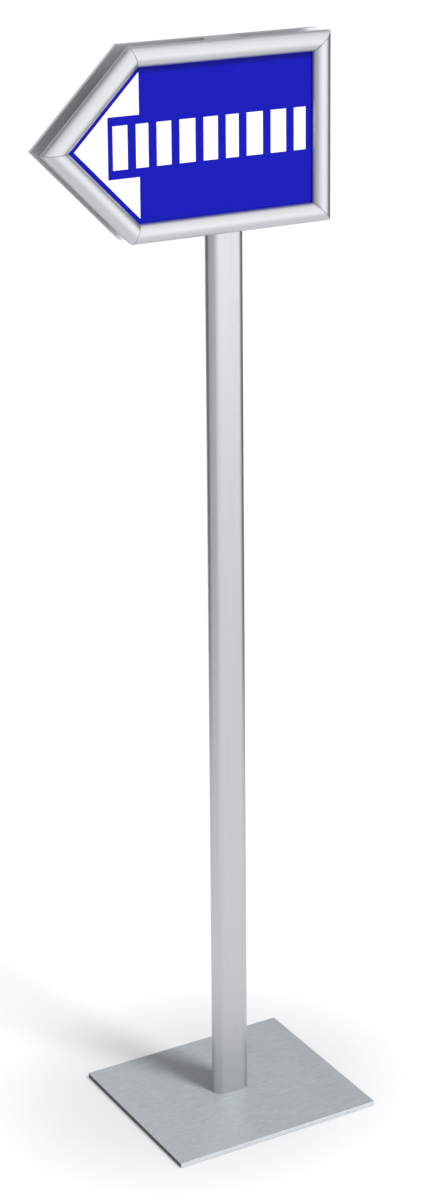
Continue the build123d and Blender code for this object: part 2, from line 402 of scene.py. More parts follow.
def copy_of(piece, name):
    """A copy with its own mesh, made active."""
    twin = piece.copy()
    twin.data = piece.data.copy()
    twin.name = name
    twin.data.name = name
    bpy.context.scene.collection.objects.link(twin)
    make_active(twin)
    return twin


def soundness(piece):
    """Counts the edges without exactly two faces, none in a sound solid, and gives the volume."""
    shape = bmesh.new()
    shape.from_mesh(piece.data)
    count = sum(len(edge.link_faces) != 2 for edge in shape.edges)
    volume = shape.calc_volume(signed=True)
    shape.free()
    return f"{count} open edges, {volume / MM ** 3:.0f} mm3"


def settle(piece, body, stands_for):
    """Says which body a piece rides on and which node it stands for, which is hidden."""
    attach(piece, body)
    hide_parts(stands_for)
    print(piece.name, "-", len(piece.data.polygons), "faces,", soundness(piece))


# %% [markdown]
# ## The section of a snap cover
# The cover is a rounded strip that grips the print along its inner edge. Its section has a wall of
# 1.3 mm in half an oval, a lip that presses on the clear sheet, a rib for the spring to push, and a
# hook that turns round the bead of the fixed profile. Distances run inward from the outer edge (s)
# and forward from the back of the frame (d). The sharp corners of the die are eased a little, which
# is a bevel of single points while the section is still flat.

# %% Cover section
# HOOK_END and HOOK_SEARCH are in degrees round the pivot, and WALL_SEARCH in millimetres from it.
BAND = 25.0
DEPTH = 14.0
WALL = 1.3
DOME = (BAND / 2, 4.6)
DOME_RADII = (BAND / 2, DEPTH - DOME[1])
HOLLOW_RADII = (DOME_RADII[0] - WALL, DOME_RADII[1] - WALL)
PIVOT = (2.0, 4.4)
HOOK_BORE = 0.96
HOOK_RADIUS = 2.0
HOOK_END = 140.0
LIP_START, LIP_LOW, LIP_HIGH = BAND - 2.4, 4.0, 5.4
RIB_OUTER, RIB_INNER, RIB_LOW = 8.0, 9.2, 7.2
DIE_EASE = 0.25
DIE_EASE_STEPS = 3
CROWN_STEPS = 72
HOLLOW_STEPS = (40, 24)
HOOK_STEPS = 16
HALVINGS = 40
WALL_SEARCH = (1.0, 4.0)
HOOK_SEARCH = (90, 120)


def within(radii, place):
    """True if a place in the section is inside the oval with these radii."""
    return ((place[0] - DOME[0]) / radii[0]) ** 2 + ((place[1] - DOME[1]) / radii[1]) ** 2 < 1


def crossing(is_inside, low, high):
    """Where is_inside turns from true to false between two values, found by halving."""
    for _ in range(HALVINGS):
        middle = (low + high) / 2
        low, high = (middle, high) if is_inside(middle) else (low, middle)
    return low


def from_pivot(reach, angle):
    """The place at a distance from the pivot, at an angle in degrees."""
    turn = math.radians(angle)
    return (PIVOT[0] + reach * math.cos(turn), PIVOT[1] + reach * math.sin(turn))


def dome_angle(radii, s):
    """The angle at which the upper half of an oval is this far inward."""
    return math.degrees(math.acos((s - DOME[0]) / radii[0]))


def cover_section():
    """The cover's outline, and those of its corners that are eased."""
    reach = crossing(lambda r: within(DOME_RADII, from_pivot(r, HOOK_END)), *WALL_SEARCH)
    wall_end = from_pivot(reach, HOOK_END)
    hook_top = crossing(lambda a: within(HOLLOW_RADII, from_pivot(HOOK_RADIUS, a)), *HOOK_SEARCH)
    hook_joint = from_pivot(HOOK_RADIUS, hook_top)
    lip_root = math.degrees(math.asin((LIP_HIGH - DOME[1]) / HOLLOW_RADII[1]))
    rib_angles = [dome_angle(HOLLOW_RADII, s) for s in (RIB_INNER, RIB_OUTER)]
    joint_angle = dome_angle(HOLLOW_RADII, hook_joint[0])
    outer = arc(DOME, DOME_RADII, dome_angle(DOME_RADII, wall_end[0]), 0, CROWN_STEPS)
    lip = [(BAND, LIP_LOW), (LIP_START, LIP_LOW), (LIP_START, LIP_HIGH)]
    hollow_right = arc(DOME, HOLLOW_RADII, lip_root, rib_angles[0], HOLLOW_STEPS[0])
    rib = [(RIB_INNER, RIB_LOW), (RIB_OUTER, RIB_LOW)]
    hollow_left = arc(DOME, HOLLOW_RADII, rib_angles[1], joint_angle, HOLLOW_STEPS[1])
    hook = arc(PIVOT, (HOOK_RADIUS, HOOK_RADIUS), hook_top, 0, HOOK_STEPS)[1:]
    bore = arc(PIVOT, (HOOK_BORE, HOOK_BORE), 0, HOOK_END, HOOK_STEPS)
    eased = lip + rib + [wall_end, hollow_right[0], hollow_right[-1], hollow_left[0], hook_joint]
    return outer + lip + hollow_right + rib + hollow_left + hook + bore, eased


outline, eased = cover_section()
print("the cover's section has", len(outline), "points and", len(eased), "eased corners")

# %% [markdown]
# ## One long bar of cover
# A factory pushes one long bar and saws all its covers from that. The same is done here. The section
# becomes a face in the plane X = 0, its marked corners are beveled as points, and the face is
# extruded along X.

# %% Cover bar


def near(point, place):
    """True if a point of the flat section is at a place in s and d."""
    return (abs(point.co.y - place[0] * MM) < SAME_PLACE
            and abs(point.co.z - place[1] * MM) < SAME_PLACE)


def cover_bar():
    """A bar of cover as long as the longest member, along X."""
    bar = new_piece("cover_bar")
    draw_loop([(0, s * MM, d * MM) for s, d in outline])
    choose(bar, "VERT", lambda point: any(near(point, place) for place in eased))
    bpy.ops.mesh.bevel(offset=DIE_EASE * MM, segments=DIE_EASE_STEPS, affect="VERTICES",
                       clamp_overlap=True)
    bpy.ops.mesh.select_all(action="SELECT")
    push(Vector((max(length(k) for k in range(len(MEMBERS))) * MM, 0, 0)))
    close_up(bar)
    return bar


bar = cover_bar()
print("bar:", len(bar.data.polygons), "faces,", soundness(bar))

# %% [markdown]
# ## Sawing, closing the hook and placing the covers
# Each cover is a copy of the bar, sawn on the two mitre planes that halve the sign's corners. The
# saw's edge is dressed off, so each cut is made a little short and the cut face is then inset and
# raised, which leaves a fine slanted rim to catch light. The last part of the hook reaches under the
# bead. It must stay clear of the neighbour's when both swing, so it is left off near the corners:
# the flat end of the hook is divided there, and only its long middle part is spun on round the
# pivot.

# %% Cover cutting helpers
COVER_GAP = 0.4
SAW_EASE = 0.12
CLAW_TRIM = 3.0
CLAW_TURN = 60.0
CLAW_STEPS = 6


def mitre_planes(k, back):
    """A member's two mitre planes, as a point and an outward normal, moved back along it."""
    planes = []
    for angle, x, side in ((half_angle(k), 0.0, -1), (half_angle(k + 1), length(k), 1)):
        outward = Vector((side * math.sin(angle), math.cos(angle), 0))
        planes.append((Vector((x, 0, 0)) * MM - outward * back * MM, outward))
    return planes


def saw_ends(piece, k):
    """Cuts a bar on its mitre planes and eases the rim of each cut."""
    bpy.ops.object.mode_set(mode="EDIT")
    cuts = mitre_planes(k, COVER_GAP / 2 + SAW_EASE)
    for place, outward in cuts:
        bpy.ops.mesh.select_all(action="SELECT")
        bpy.ops.mesh.bisect(plane_co=place, plane_no=outward, use_fill=True, clear_outer=True)
    for place, outward in cuts:
        choose(piece, "FACE", lambda face: looks(face, outward))
        bpy.ops.mesh.inset(thickness=SAW_EASE * MM, depth=SAW_EASE * MM)
        give_finish(piece, 1)


def spin_claw(piece, k):
    """Divides the hook's flat end near both corners and spins its middle part round the pivot."""
    for place, outward in mitre_planes(k, COVER_GAP / 2 + CLAW_TRIM):
        bpy.ops.mesh.select_all(action="SELECT")
        bpy.ops.mesh.bisect(plane_co=place, plane_no=outward)
    half = length(k) / 2 * MM
    pivot = Vector((0, PIVOT[0], PIVOT[1])) * MM

    def is_hook_end(face):
        """True for the middle part of the hook's flat end."""
        middle = face.calc_center_median()
        return (looks(face, Vector((0, 0, -1))) and abs(middle.z - pivot.z) < SAME_PLACE
                and abs(middle.x - half) < half / 2 and middle.y < 2 * pivot.y)

    choose(piece, "FACE", is_hook_end)
    bpy.ops.mesh.spin(steps=CLAW_STEPS, angle=math.radians(CLAW_TURN), center=pivot, axis=(1, 0, 0))


def member_matrix(k, rear):
    """Where a member's own X, Y and Z go: along it, inward, and forward from the frame's back."""
    forward = Vector((0, -1, 0))
    place = (corner(k) + forward * POLE_DEPTH / 2) * MM
    columns = (along(k), inward(k), forward, place)
    rows = [[column[row] for column in columns] for row in range(3)]
    matrix = Matrix(rows + [[0, 0, 0, 1]])
    return Matrix.Scale(-1, 4, (0, 1, 0)) @ matrix if rear else matrix


# %% [markdown]
# The sawn ends of such covers are cut after anodising, so they are bare metal with fine saw marks.
# They get a second, slightly brighter and rougher material of their own.

# %% Sawn aluminium
SAW_MARK = (9.0, 0.5, 0.5)
SAW_RELIEF = 0.02


def sawn_aluminium():
    """Bare aluminium as a fine saw leaves it, with short scratches across the cut."""
    material, tree, shader = start_material("sawn aluminium", "D2D3D4", 0.46, metallic=1.0)
    marks = grain(tree, SAW_MARK)
    tree.links.new(between(tree, marks, 0.40, 0.52), shader.inputs["Roughness"])
    tree.links.new(tinted(tree, marks, "C4C5C6", "DADBDC"), shader.inputs["Base Color"])
    raise_by(tree, shader, (marks, SAW_RELIEF))
    return material


# %% The ten covers
def finishes_along(name, colour, roughness):
    """Each member's finish, in order. Members that run the same way share one."""
    made = {}
    finishes = []
    for turn in [line_turn(k) for k in range(len(MEMBERS))]:
        degrees = round(math.degrees(turn) % 180)
        if degrees not in made:
            label = f"{name}, lines at {degrees}"
            made[degrees] = anodised_aluminium(label, turn, colour, roughness)
        finishes.append(made[degrees])
    return finishes


sawn = sawn_aluminium()
cover_finishes = finishes_along("anodised aluminium", SATIN, SATIN_ROUGHNESS)


def snap_cover(k, side):
    """Cuts one member's cover from the bar, gives it its finishes and puts it in its place."""
    node = f"{side}_{MEMBERS[k]}_cover"
    piece = copy_of(bar, node + "_strip")
    piece.data.materials.append(cover_finishes[k])
    piece.data.materials.append(sawn)
    saw_ends(piece, k)
    spin_claw(piece, k)
    bpy.ops.object.mode_set(mode="OBJECT")
    piece.matrix_world = member_matrix(k, side == "rear")
    bpy.ops.object.transform_apply(location=True, rotation=True, scale=True)
    bpy.ops.object.mode_set(mode="EDIT")
    close_up(piece)
    bpy.ops.object.shade_smooth_by_angle(angle=math.radians(SMOOTH_ANGLE))
    settle(piece, node, node)


for side in ("front", "rear"):
    for k in range(len(MEMBERS)):
        snap_cover(k, side)
bpy.data.objects.remove(bar)

# %% [markdown]
# ## The fixed profiles
# Behind each cover is the fixed profile: a thin back web, a low side wall, the bead that the cover
# turns on and the channel for the corner keys. The engineering pieces already have that exact shape,
# down to the screw holes, so they only need the same anodised finish, with lines along each bar.
# They come from another die and another batch, so they are a touch lighter than the covers.

# %% Profile finish
PROFILE_SATIN = "DCDEE0"
PROFILE_ROUGHNESS = 0.42
profile_finishes = finishes_along("anodised aluminium profile", PROFILE_SATIN, PROFILE_ROUGHNESS)
for member, finish in zip(MEMBERS, profile_finishes):
    dress(finish, *both(member + "_profile"))
print("profile finishes:", len(set(profile_finishes)))

# %% [markdown]
# ## The pole
# The pole is a hollow flat oval with a screw port in each round end, where the base bolts go. It is
# drawn as four loops, the outside, the hollow that runs round both ports, and the two bores, and the
# metal between them is filled and extruded. The four holes for the frames' screws are cut with a
# boolean, since they cross the wall. Weighted normals keep the flat faces flat to the eye where they
# run into the round ends.

# %% Pole
POLE_WIDTH = 50.0
POLE_WALL = 2.0
POLE_FOOT = 7.0
POLE_TOP = TOP - 3.0
PORT_X = 17.8
PORT_RADIUS = 5.3
PORT_BORE = 3.05
SCREW_X = 6.5
SCREW_DROP = 9.7
SCREW_HOLE = 1.81
POLE_SATIN = "C8CACB"
ROUND_STEPS = 36
WALL_STEPS = 20
PORT_STEPS = 30
BORE_SIDES = 24


def oval(width, depth):
    """A flat oval, anticlockwise, as two half rounds."""
    radius = depth / 2
    shift = width / 2 - radius
    right = arc((shift, 0), (radius, radius), -90, 90, ROUND_STEPS)
    left = arc((-shift, 0), (radius, radius), 90, 270, ROUND_STEPS)
    return right + left


def pole_hollow():
    """The hollow's outline. It follows the wall, then turns back round each port."""
    radius = POLE_DEPTH / 2 - POLE_WALL
    shift = POLE_WIDTH / 2 - POLE_DEPTH / 2
    apart = PORT_X - shift
    lean = (apart ** 2 + PORT_RADIUS ** 2 - radius ** 2) / (2 * apart * PORT_RADIUS)
    port_end = 180 - math.degrees(math.acos(lean))
    reach = PORT_X + PORT_RADIUS * math.cos(math.radians(port_end))
    height = PORT_RADIUS * math.sin(math.radians(port_end))
    wall_end = math.degrees(math.atan2(height, reach - shift))
    right = arc((shift, 0), (radius, radius), -90, -wall_end, WALL_STEPS)
    right += arc((PORT_X, 0), (PORT_RADIUS, PORT_RADIUS), 360 - port_end, port_end, PORT_STEPS)[1:-1]
    right += arc((shift, 0), (radius, radius), wall_end, 90, WALL_STEPS)
    return right + [(-x, -y) for x, y in right]


def drill(piece, places, radius, depth):
    """Cuts round holes along Y at the given X and Z."""
    for x, z in places:
        bpy.ops.mesh.primitive_cylinder_add(vertices=BORE_SIDES, radius=radius * MM,
                                            depth=depth * MM, location=(x * MM, 0, z * MM),
                                            rotation=(math.pi / 2, 0, 0))
        subtract(piece, bpy.context.object)


def subtract(piece, cutter):
    """Takes a cutter's shape out of a piece, then throws the cutter away."""
    make_active(piece)
    cut = piece.modifiers.new("cut", "BOOLEAN")
    cut.operation = "DIFFERENCE"
    cut.solver = "EXACT"
    cut.object = cutter
    bpy.ops.object.modifier_apply(modifier=cut.name)
    bpy.data.objects.remove(cutter)


def weigh_normals(piece, angle=SMOOTH_ANGLE):
    """Smooths the round parts and lets the large flat faces set the shading where they meet."""
    make_active(piece)
    bpy.ops.object.shade_smooth_by_angle(angle=math.radians(angle))
    weighted = piece.modifiers.new("weighted", "WEIGHTED_NORMAL")
    weighted.keep_sharp = True
    weighted.weight = 100
    bpy.ops.object.modifier_apply(modifier=weighted.name)


def make_pole():
    """Draws, extrudes and drills the pole."""
    pole = new_piece("pole_tube")
    last = 360 - 360 / BORE_SIDES
    bores = [arc((side * PORT_X, 0), (PORT_BORE, PORT_BORE), 0, last, BORE_SIDES - 1)
             for side in (-1, 1)]
    for loop in [oval(POLE_WIDTH, POLE_DEPTH), pole_hollow(), *bores]:
        draw_loop([(x * MM, y * MM, POLE_FOOT * MM) for x, y in loop], filled=False)
    merge_points()
    bpy.ops.mesh.fill(use_beauty=True)
    push(Vector((0, 0, (POLE_TOP - POLE_FOOT) * MM)))
    close_up(pole)
    heights = (TOP - SIGN_HEIGHT + SCREW_DROP, TOP - SCREW_DROP)
    drill(pole, [(x, z) for z in heights for x in (-SCREW_X, SCREW_X)], SCREW_HOLE, 2 * POLE_DEPTH)
    weigh_normals(pole)
    finish = anodised_aluminium("anodised aluminium pole", math.pi / 2, POLE_SATIN)
    pole.data.materials.append(finish)
    settle(pole, "stand", "pole")


make_pole()

# %% [markdown]
# ## The base plate
# A 6 mm steel plate keeps the stand upright by its weight. It is cut from sheet, its corners are
# rounded a little, its top edge is broken with a small bevel, and the top is brushed. It starts as a
# cube at the plate's size. The four upright edges are beveled first, then the rims, and the two
# countersunk bolt holes are cut from below, under the pole.

# %% Base plate
BASE_WIDTH = 295.0
BASE_DEPTH = 258.0
PLATE_FOOT = 1.0
PLATE_THICKNESS = 6.0
PLATE_CORNER = 2.5
PLATE_RIM = 0.8
BOLT_HOLE = 3.25
SINK_RADIUS = 6.25
SINK_DEPTH = 3.0
BOLT_SIDES = 48
PLATE_SMOOTH = 50.0
SIDE_ON = 0.75


def ease_edges(piece, wanted, width, steps):
    """Bevels the edges for which wanted is true."""
    choose(piece, "EDGE", wanted)
    bpy.ops.mesh.bevel(offset=width * MM, segments=steps, affect="EDGES")


def is_upright(edge):
    """True if an edge's two ends are at different heights."""
    return abs(edge.verts[0].co.z - edge.verts[1].co.z) > PLATE_RIM / 4 * MM


def lies_at(edge, height):
    """True if both ends of an edge are at a height."""
    return all(abs(point.co.z - height * MM) < SAME_PLACE for point in edge.verts)


def sink_bolt(piece, x):
    """Cuts a bolt's clearance hole and its countersink into the plate from below."""
    bpy.ops.mesh.primitive_cylinder_add(vertices=BOLT_SIDES, radius=BOLT_HOLE * MM,
                                        depth=4 * PLATE_THICKNESS * MM,
                                        location=(x * MM, 0, PLATE_FOOT * MM))
    subtract(piece, bpy.context.object)
    # The cone starts 1 mm below the plate, at the same slope, so that it cuts the face cleanly.
    slope = (SINK_RADIUS - BOLT_HOLE) / SINK_DEPTH
    middle = PLATE_FOOT + (SINK_DEPTH - 1) / 2
    bpy.ops.mesh.primitive_cone_add(vertices=BOLT_SIDES, radius1=(SINK_RADIUS + slope) * MM,
                                    radius2=BOLT_HOLE * MM, depth=(SINK_DEPTH + 1) * MM,
                                    location=(x * MM, 0, middle * MM))
    subtract(piece, bpy.context.object)


def make_plate():
    """Shapes the plate, sinks its bolt holes, and paints a highlight on its front and back and shade
    on its ends.
    """
    top = PLATE_FOOT + PLATE_THICKNESS
    bpy.ops.object.select_all(action="DESELECT")
    bpy.ops.mesh.primitive_cube_add(size=1, location=(0, 0, (PLATE_FOOT + top) / 2 * MM),
                                    scale=(BASE_WIDTH * MM, BASE_DEPTH * MM, PLATE_THICKNESS * MM))
    plate = bpy.context.object
    plate.name = "plate_brushed"
    bpy.ops.object.transform_apply(location=True, rotation=True, scale=True)
    bpy.ops.object.mode_set(mode="EDIT")
    ease_edges(plate, is_upright, PLATE_CORNER, steps=8)
    ease_edges(plate, lambda edge: lies_at(edge, top), PLATE_RIM, steps=4)
    ease_edges(plate, lambda edge: lies_at(edge, PLATE_FOOT), PLATE_RIM / 4, steps=2)
    close_up(plate)
    for side in (-1, 1):
        sink_bolt(plate, side * PORT_X)
    weigh_normals(plate, PLATE_SMOOTH)
    for steel in (brushed_steel("brushed stainless steel", *BELT_SHADES),
                  brushed_steel("steel edge, painted lighter", *PAINTED_LIGHT_EDGE_SHADES), painted_shade_end_steel()):
        plate.data.materials.append(steel)
    bpy.ops.object.mode_set(mode="EDIT")
    # The front and back take the lighter steel, a painted highlight, and the two ends the dark one,
    # painted shade.
    for index, way in ((1, "y"), (2, "x")):
        choose(plate, "FACE", lambda face: abs(getattr(face.normal, way)) > SIDE_ON)
        give_finish(plate, index)
    bpy.ops.object.mode_set(mode="OBJECT")
    settle(plate, "stand", "base_plate")


# %% [markdown]
# ## Brushed steel
# An abrasive belt was run over the plate along its width. It leaves short overlapping scratches that
# all run one way, with a slight cloudiness where the belt pressed harder. Real scratches are about
# 0.05 mm wide. They are drawn 0.8 mm wide and 11 mm long so that they show, with broader, fainter
# bands behind them. The scratches scatter light so widely that such a plate shows soft shadows as a
# matt surface does, so it is drawn half metal and half matt. The front and back edges are a lighter
# copy of the steel, a painted highlight, and the two ends are a dark, rough steel, painted shade.

# %% Brushed steel material
BELT_SCRATCH = (11.0, 0.8, 0.8)
BELT_BAND = (45.0, 3.5, 3.5)
BELT_CLOUD = (60.0, 40.0, 40.0)
BAND_SHARE = 0.35
BELT_RELIEF = 0.02
BELT_SHADES = ("A3A9AD", "BCC2C5")
# The front and back edges' tones are lighter than the top's as a painted highlight.
PAINTED_LIGHT_EDGE_SHADES = ("B4BABE", "CDD2D5")
DRAG_MARK = (0.9, 0.9, 6.0)
DRAG_RELIEF = 0.03


def brushed_steel(name, low, high):
    """Steel with short belt scratches along X, between two shades."""
    material, tree, shader = start_material(name, high, 0.48, metallic=0.45)
    scratch = grain(tree, BELT_SCRATCH, detail=4.0)
    band = grain(tree, BELT_BAND, detail=2.0)
    cloud = grain(tree, BELT_CLOUD, detail=1.0)
    faint = add(tree, "ShaderNodeMath", {"operation": "MULTIPLY"}, _0=band)
    faint.inputs[1].default_value = BAND_SHARE
    mixed = add(tree, "ShaderNodeMath", {"operation": "ADD"}, _0=scratch, _1=faint.outputs[0])
    worn = add(tree, "ShaderNodeMath", {"operation": "ADD"}, _0=mixed.outputs[0], _1=cloud)
    shade = tinted(tree, mixed.outputs[0], low, high, 0.45, 0.9)
    tree.links.new(shade, shader.inputs["Base Color"])
    rough = between(tree, worn.outputs[0], 0.44, 0.56, 0.8, 1.5)
    tree.links.new(rough, shader.inputs["Roughness"])
    raise_by(tree, shader, (scratch, BELT_RELIEF))
    return material


def painted_shade_end_steel():
    """The plate's ends, dull and dark as painted shade, with upright drag marks."""
    material, tree, shader = start_material("steel end, painted dark shade", "686C6F", 0.60)
    drag = grain(tree, DRAG_MARK)
    tree.links.new(tinted(tree, drag, "363A3C", "484C4F"), shader.inputs["Base Color"])
    tree.links.new(between(tree, drag, 0.55, 0.68), shader.inputs["Roughness"])
    raise_by(tree, shader, (drag, DRAG_RELIEF))
    return material


make_plate()

# %% [markdown]
# ## The print
# Each frame holds a printed paper sheet behind a clear sheet: a white arrow head and a row of plain
# white blocks, which stand where a word would be, on deep blue. The print is divided into real
# areas. The sheet is cut on straight lines, like a plan drawn with a ruler, each area gets its ink
# by its place, and edges between areas of the same ink are dissolved again. So the print stays
# sharp however near the eye comes, and needs no picture.

# %% Print layout
SHEET_INSET = 14.6
PRINT_BACK = 2.95
PRINT_FRONT = 3.2
HEAD_INSET = 31.2
HEAD_END_X = -124.6
NOTCH_X = -167.3
NOTCH_REACH = 38.0
BLOCK_REACH = 26.8
BLOCK_START_X = -160.5
BLOCK_WIDTHS = (20.0, 17.0, 20.0, 22.0, 20.0, 18.0, 23.0, 22.0, 17.0)
BLOCK_SPACE = 11.4
HEAD_SIDES = (1, 2)
TIP = 2


def block_spans():
    """The left and right edges of the blocks in the row."""
    spans = []
    left = BLOCK_START_X
    for width in BLOCK_WIDTHS:
        spans.append((left, left + width))
        left += width + BLOCK_SPACE
    return spans


def print_cuts():
    """The straight lines that bound the inks, each as a point and a normal in millimetres."""
    heights = (-NOTCH_REACH, -BLOCK_REACH, BLOCK_REACH, NOTCH_REACH)
    cuts = [(Vector((0, 0, MIDDLE_Z + height)), Vector((0, 0, 1))) for height in heights]
    lines = [HEAD_END_X, NOTCH_X] + [x for span in block_spans() for x in span]
    cuts += [(Vector((x, 0, 0)), Vector((1, 0, 0))) for x in lines]
    cuts += [(inset_corner(TIP, HEAD_INSET), inward(k)) for k in HEAD_SIDES]
    return cuts


def is_white(place):
    """True if a place on the print, in millimetres, is white."""
    rise = abs(place.z - MIDDLE_Z)
    if rise < BLOCK_REACH and any(left < place.x < right for left, right in block_spans()):
        return True
    from_tip = place - corner(TIP)
    in_head = place.x < HEAD_END_X and all(from_tip.dot(inward(k)) > HEAD_INSET for k in HEAD_SIDES)
    return in_head and not (place.x > NOTCH_X and rise < NOTCH_REACH)


print("blocks run from X", block_spans()[0][0], "to", round(block_spans()[-1][1], 1), "mm")

# %% [markdown]
# Poster paper is coated, so that ink lies evenly on it, with a slight silky sheen. The inks are the
# same surface in another colour, with a faint unevenness where the press laid them down. The sheet's
# back and edges are bare paper.

# %% Paper and inks
INK_MOTTLE = (7.0, 7.0, 7.0)
PAPER_TOOTH = (0.9, 0.9, 0.9)
PAPER_SHEEN = 0.06
PAPER_SPREAD = 0.05
PAPER_RELIEF = 0.004


def printed_paper(name, low, high, roughness):
    """Coated paper with an even ink on it, between two nearly equal colours."""
    material, tree, shader = start_material(name, high, roughness)
    shader.inputs["Specular IOR Level"].default_value = PAPER_SHEEN
    mottle = grain(tree, INK_MOTTLE)
    tooth = grain(tree, PAPER_TOOTH, detail=2.0)
    tree.links.new(tinted(tree, mottle, low, high), shader.inputs["Base Color"])
    rough = between(tree, tooth, roughness - PAPER_SPREAD, roughness + PAPER_SPREAD)
    tree.links.new(rough, shader.inputs["Roughness"])
    raise_by(tree, shader, (tooth, PAPER_RELIEF))
    return material


bare_paper = printed_paper("coated poster paper", "F1F2F0", "F7F7F5", 0.60)
white_ink = printed_paper("coated paper, white area", "FAFBF9", "FFFFFE", 0.55)
blue_ink = printed_paper("coated paper, blue ink", "0003A2", "0004A8", 0.50)


def make_print(side):
    """Draws one sheet, cuts it on the lines of its layout and inks each area of its face."""
    sheet = new_piece(f"{side}_print")
    facing = -1 if side == "front" else 1
    back_y = facing * (POLE_DEPTH / 2 + PRINT_BACK)
    rim = [inset_corner(k, SHEET_INSET) for k in range(len(CORNERS))]
    draw_loop([(place.x * MM, back_y * MM, place.z * MM) for place in rim])
    bpy.ops.mesh.select_all(action="SELECT")
    push(Vector((0, facing * (PRINT_FRONT - PRINT_BACK) * MM, 0)))
    for place, across in print_cuts():
        bpy.ops.mesh.select_all(action="SELECT")
        bpy.ops.mesh.bisect(plane_co=place * MM, plane_no=across)
    close_up(sheet)
    for ink in (bare_paper, white_ink, blue_ink):
        sheet.data.materials.append(ink)
    bpy.ops.object.mode_set(mode="EDIT")
    for ink, wanted in ((1, True), (2, False)):
        choose(sheet, "FACE", lambda face: looks(face, Vector((0, facing, 0)))
               and is_white(face.calc_center_median() / MM) == wanted)
        give_finish(sheet, ink)
    bpy.ops.mesh.select_all(action="SELECT")
    bpy.ops.mesh.dissolve_limited(angle_limit=math.radians(1), delimit={"MATERIAL"})
    bpy.ops.object.mode_set(mode="OBJECT")
    settle(sheet, "stand", f"{side}_poster")


for side in ("front", "rear"):
    make_print(side)

# %% [markdown]
# ## Clear sheet
# A 0.65 mm sheet of clear PVC keeps fingers and dust off the print. Real light passes through it and
# is only mirrored at a low angle. The sheet is drawn as a nearly invisible surface that grows denser
# as it is seen edge on, which keeps the ink's full colour and is quick and quiet to render.

# %% Clear sheet material
FILM_BLEND = 0.28
FILM_CLEAR, FILM_DENSE = 0.006, 0.35
FILM_SMEAR = (35.0, 12.0, 12.0)


def clear_film():
    """Clear sheet, nearly invisible face on and denser at a low angle, with faint wiping marks."""
    material, tree, shader = start_material("clear rigid PVC sheet", "9A9EA0", 0.12)
    facing = add(tree, "ShaderNodeLayerWeight", values={"Blend": FILM_BLEND}).outputs["Facing"]
    smear = grain(tree, FILM_SMEAR, detail=2.0)
    tree.links.new(between(tree, smear, 0.09, 0.16), shader.inputs["Roughness"])
    density = between(tree, facing, FILM_CLEAR, FILM_DENSE, 0.1, 1.0)
    tree.links.new(density, shader.inputs["Alpha"])
    return material


dress(clear_film(), *both("clear_sheet"))

# %% [markdown]
# ## The remaining pieces
# These keep their engineering shape, and each gets the surface of its own trade: a foamed backing
# board, a moulded end cap, zinc-plated keys and screws, tempered spring leaves, black bolts and the
# soft foam that keeps the plate off the floor.

# %% Moulded, foamed and plated finishes
SPECKLE_SPREAD = 0.06


def speckled(name, low, high, size, roughness, relief, metallic=0.0):
    """A finish with one grain that moves its colour, its roughness and its relief."""
    material, tree, shader = start_material(name, high, roughness, metallic)
    marks = grain(tree, size)
    tree.links.new(tinted(tree, marks, low, high), shader.inputs["Base Color"])
    rough = between(tree, marks, roughness + SPECKLE_SPREAD, roughness - SPECKLE_SPREAD)
    tree.links.new(rough, shader.inputs["Roughness"])
    raise_by(tree, shader, (marks, relief))
    return material


finishes = {
    # name: two colours, size of a mark, roughness, relief, metallic, the nodes that wear it
    # Foamed PVC board is skinned smooth with a faint orange peel.
    "foamed PVC board": ("E4E5E4", "EEEEEC", (5.0, 5.0, 5.0), 0.62, 0.02, 0.0, both("back_panel")),
    # Moulded polypropylene takes the fine spark texture of its mould. Its grey is darkened
    # as painted shade, so the cap matches the shaded gap between the frames where it sits.
    "moulded polypropylene, darkened as painted shade": ("7E8082", "8A8C8E", (0.8, 0.8, 0.8), 0.55, 0.03, 0.0, ["pole_cap"]),
    # Closed-cell foam shows its cut cells as fine pits.
    "closed-cell foam rubber": ("161718", "232526", (1.4, 1.4, 1.4), 0.90, 0.15, 0.0,
                                ["base_underlay"]),
    # Zinc plate on rolled steel has a cool spangle.
    "zinc-plated steel": ("AEB4BA", "CDD2D6", (2.5, 2.5, 2.5), 0.38, 0.01, 1.0,
                          both("corner_keys", "frame_screws")),
    # Tempered spring leaf keeps the straw-grey oxide of its heat treatment.
    "tempered spring steel": ("7F7C76", "A29E96", (6.0, 1.2, 1.2), 0.35, 0.01, 1.0,
                              both("cover_springs")),
    # Black oxide on the bolts is thin and a little uneven.
    "black oxide steel": ("1B1C1E", "303236", (1.5, 1.5, 1.5), 0.45, 0.01, 1.0, ["base_bolts"]),
}
for name, (low, high, size, roughness, relief, metallic, wearers) in finishes.items():
    dress(speckled(name, low, high, size, roughness, relief, metallic), *wearers)
    print(name, "on", len(wearers), "nodes")
